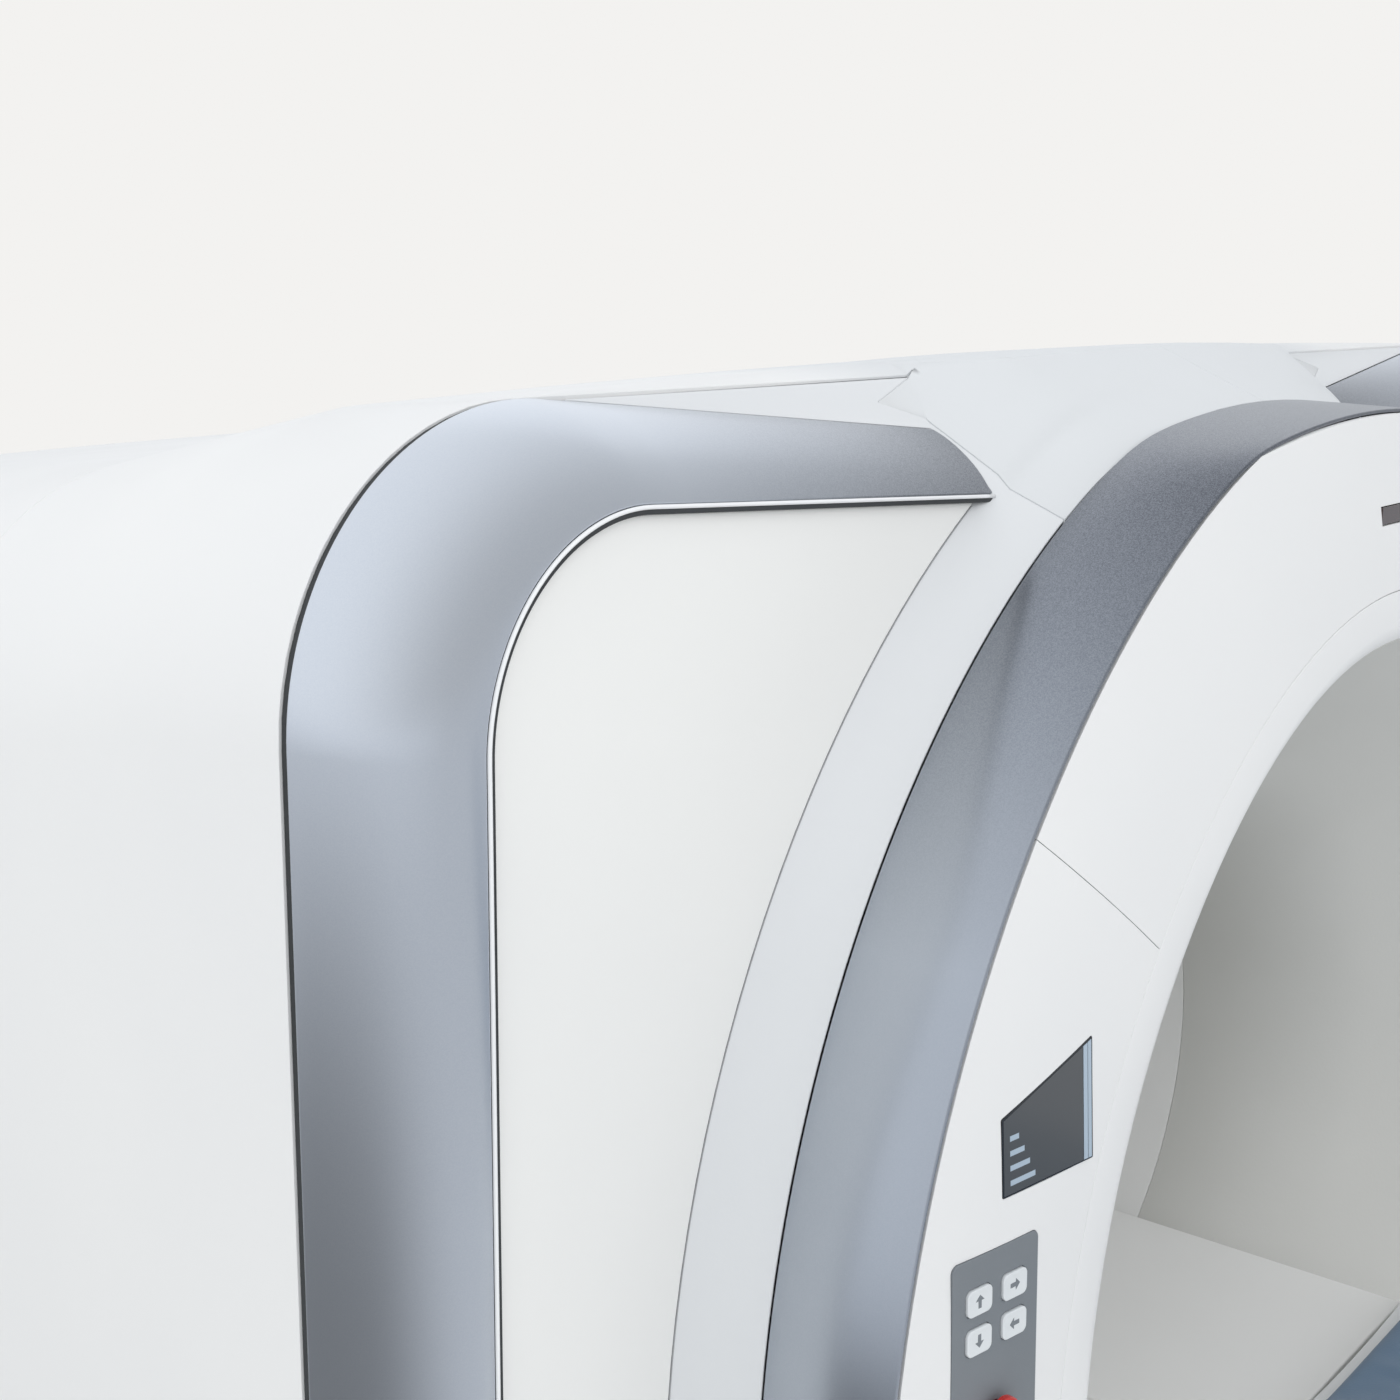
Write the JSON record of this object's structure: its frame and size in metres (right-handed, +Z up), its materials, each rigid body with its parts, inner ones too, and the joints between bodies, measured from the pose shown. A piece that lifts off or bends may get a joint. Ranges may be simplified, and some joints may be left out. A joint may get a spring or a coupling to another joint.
{
  "type": "mri scanner",
  "caption": "Cylindrical-bore magnetic resonance scanner: covered magnet with a funnelled patient bore and a lifting, sliding patient table",
  "frame": {"origin": "on the floor, under the middle of the patient bore", "axes": "+Z up, +Y along the bore from the front of the gantry to its back, +X to the right of someone who faces the front"},
  "size_m": [2.118, 3.76, 1.86],
  "materials": {
    "white_cover": "satin cool white lacquer on moulded covers",
    "silver_trim": "satin metallic silver lacquer",
    "bore_lining": "satin warm white moulding",
    "rim_grey": "matt pale grey moulding",
    "dark_seal": "matt dark rubber",
    "plinth_grey": "matt dark grey",
    "display_glass": "gloss dark screen",
    "panel_grey": "matt grey keypad plate",
    "key_grey": "satin pale keys",
    "stop_red": "gloss red mushroom button",
    "laser_glass": "dark smoked window",
    "vessel_steel": "painted steel vessel",
    "shield_aluminium": "rolled aluminium",
    "coil_resin": "cast resin over windings",
    "steel_bright": "brushed stainless steel",
    "frame_steel": "dark painted steel",
    "frame_aluminium": "anodised aluminium",
    "table_cover": "satin white moulding",
    "board_laminate": "smooth pale laminate",
    "mattress_vinyl": "dark blue grey coated fabric",
    "roller_rubber": "matt black rubber"
  },
  "bodies": {
    "gantry": {"arch_band": "silver_trim", "bore_bridge": "bore_lining", "bore_tube": "bore_lining", "coil_former": "frame_aluminium", "cold_head": "steel_bright", "control_panel_left": "panel_grey", "control_panel_right": "panel_grey", "cover_frame": "frame_steel", "display_left": "display_glass", "display_right": "display_glass", "face_cover_left": "white_cover", "face_cover_lower": "white_cover", "face_cover_right": "white_cover", "face_cover_upper": "white_cover", "flank_cover_left": "white_cover", "flank_cover_right": "white_cover", "floor_frame": "frame_steel", "front_funnel": "rim_grey", "front_shell_left": "white_cover", "front_shell_right": "white_cover", "gradient_coil": "coil_resin", "helium_vessel": "steel_bright", "laser_window": "laser_glass", "magnet_coils": "coil_resin", "magnet_feet": "frame_steel", "magnet_supports": "frame_steel", "plinth": "plinth_grey", "quench_pipe": "steel_bright", "rear_cover": "white_cover", "rear_funnel": "rim_grey", "rear_shell_left": "white_cover", "rear_shell_right": "white_cover", "rf_coil": "coil_resin", "rim_ring": "white_cover", "table_base": "table_cover", "thermal_shield": "shield_aluminium", "vacuum_vessel": "vessel_steel", "wing_frame_left": "silver_trim", "wing_frame_right": "silver_trim", "wing_panel_left": "white_cover", "wing_panel_right": "white_cover", "wing_seals": "dark_seal"},
    "column_middle": {"column_middle": "table_cover"},
    "lift": {"column_inner": "table_cover", "table_frame": "frame_aluminium", "table_cover_left": "table_cover", "table_cover_right": "table_cover"},
    "tabletop": {"tabletop": "board_laminate", "mattress": "mattress_vinyl"},
    "drive_roller": {"drive_roller": "roller_rubber"},
    "key_table_up_left": {"key_table_up_left": "key_grey"},
    "key_table_down_left": {"key_table_down_left": "key_grey"},
    "key_table_in_left": {"key_table_in_left": "key_grey"},
    "key_table_out_left": {"key_table_out_left": "key_grey"},
    "stop_button_left": {"stop_button_left": "stop_red"},
    "key_table_up_right": {"key_table_up_right": "key_grey"},
    "key_table_down_right": {"key_table_down_right": "key_grey"},
    "key_table_in_right": {"key_table_in_right": "key_grey"},
    "key_table_out_right": {"key_table_out_right": "key_grey"},
    "stop_button_right": {"stop_button_right": "stop_red"}
  },
  "joints": [
    {"name": "table_lift", "type": "slide", "parent": "gantry", "child": "lift", "axis": [0, 0, 1], "range_m": [-0.4, 0]},
    {"name": "column_stage", "type": "slide", "parent": "gantry", "child": "column_middle", "axis": [0, 0, 1], "range_m": [-0.2, 0]},
    {"name": "tabletop_travel", "type": "slide", "parent": "lift", "child": "tabletop", "axis": [0, 1, 0], "range_m": [0, 1.75]},
    {"name": "roller_turn", "type": "hinge", "parent": "lift", "child": "drive_roller", "pos_m": [0, -0.895, 0.82522], "axis": [1, 0, 0], "range_deg": [-3343.3, 0]},
    {"name": "press_table_up_left", "type": "slide", "parent": "gantry", "child": "key_table_up_left", "axis": [0.1725, 0.9845, -0.0306], "range_m": [0, 0.0012], "stiffness_N_per_m": 600, "springref_m": -0.001},
    {"name": "press_table_down_left", "type": "slide", "parent": "gantry", "child": "key_table_down_left", "axis": [0.1725, 0.9845, -0.0306], "range_m": [0, 0.0012], "stiffness_N_per_m": 600, "springref_m": -0.001},
    {"name": "press_table_in_left", "type": "slide", "parent": "gantry", "child": "key_table_in_left", "axis": [0.1725, 0.9845, -0.0306], "range_m": [0, 0.0012], "stiffness_N_per_m": 600, "springref_m": -0.001},
    {"name": "press_table_out_left", "type": "slide", "parent": "gantry", "child": "key_table_out_left", "axis": [0.1725, 0.9845, -0.0306], "range_m": [0, 0.0012], "stiffness_N_per_m": 600, "springref_m": -0.001},
    {"name": "press_stop_left", "type": "slide", "parent": "gantry", "child": "stop_button_left", "axis": [0.1725, 0.9845, -0.0306], "range_m": [0, 0.004], "stiffness_N_per_m": 1500, "springref_m": -0.002},
    {"name": "press_table_up_right", "type": "slide", "parent": "gantry", "child": "key_table_up_right", "axis": [-0.1725, 0.9845, -0.0306], "range_m": [0, 0.0012], "stiffness_N_per_m": 600, "springref_m": -0.001},
    {"name": "press_table_down_right", "type": "slide", "parent": "gantry", "child": "key_table_down_right", "axis": [-0.1725, 0.9845, -0.0306], "range_m": [0, 0.0012], "stiffness_N_per_m": 600, "springref_m": -0.001},
    {"name": "press_table_in_right", "type": "slide", "parent": "gantry", "child": "key_table_in_right", "axis": [-0.1725, 0.9845, -0.0306], "range_m": [0, 0.0012], "stiffness_N_per_m": 600, "springref_m": -0.001},
    {"name": "press_table_out_right", "type": "slide", "parent": "gantry", "child": "key_table_out_right", "axis": [-0.1725, 0.9845, -0.0306], "range_m": [0, 0.0012], "stiffness_N_per_m": 600, "springref_m": -0.001},
    {"name": "press_stop_right", "type": "slide", "parent": "gantry", "child": "stop_button_right", "axis": [-0.1725, 0.9845, -0.0306], "range_m": [0, 0.004], "stiffness_N_per_m": 1500, "springref_m": -0.002}
  ],
  "couplings": [
    {"joint": "column_stage", "follows": "table_lift", "ratio": 0.5},
    {"joint": "roller_turn", "follows": "tabletop_travel", "rad_per_m": -33.333}
  ]
}
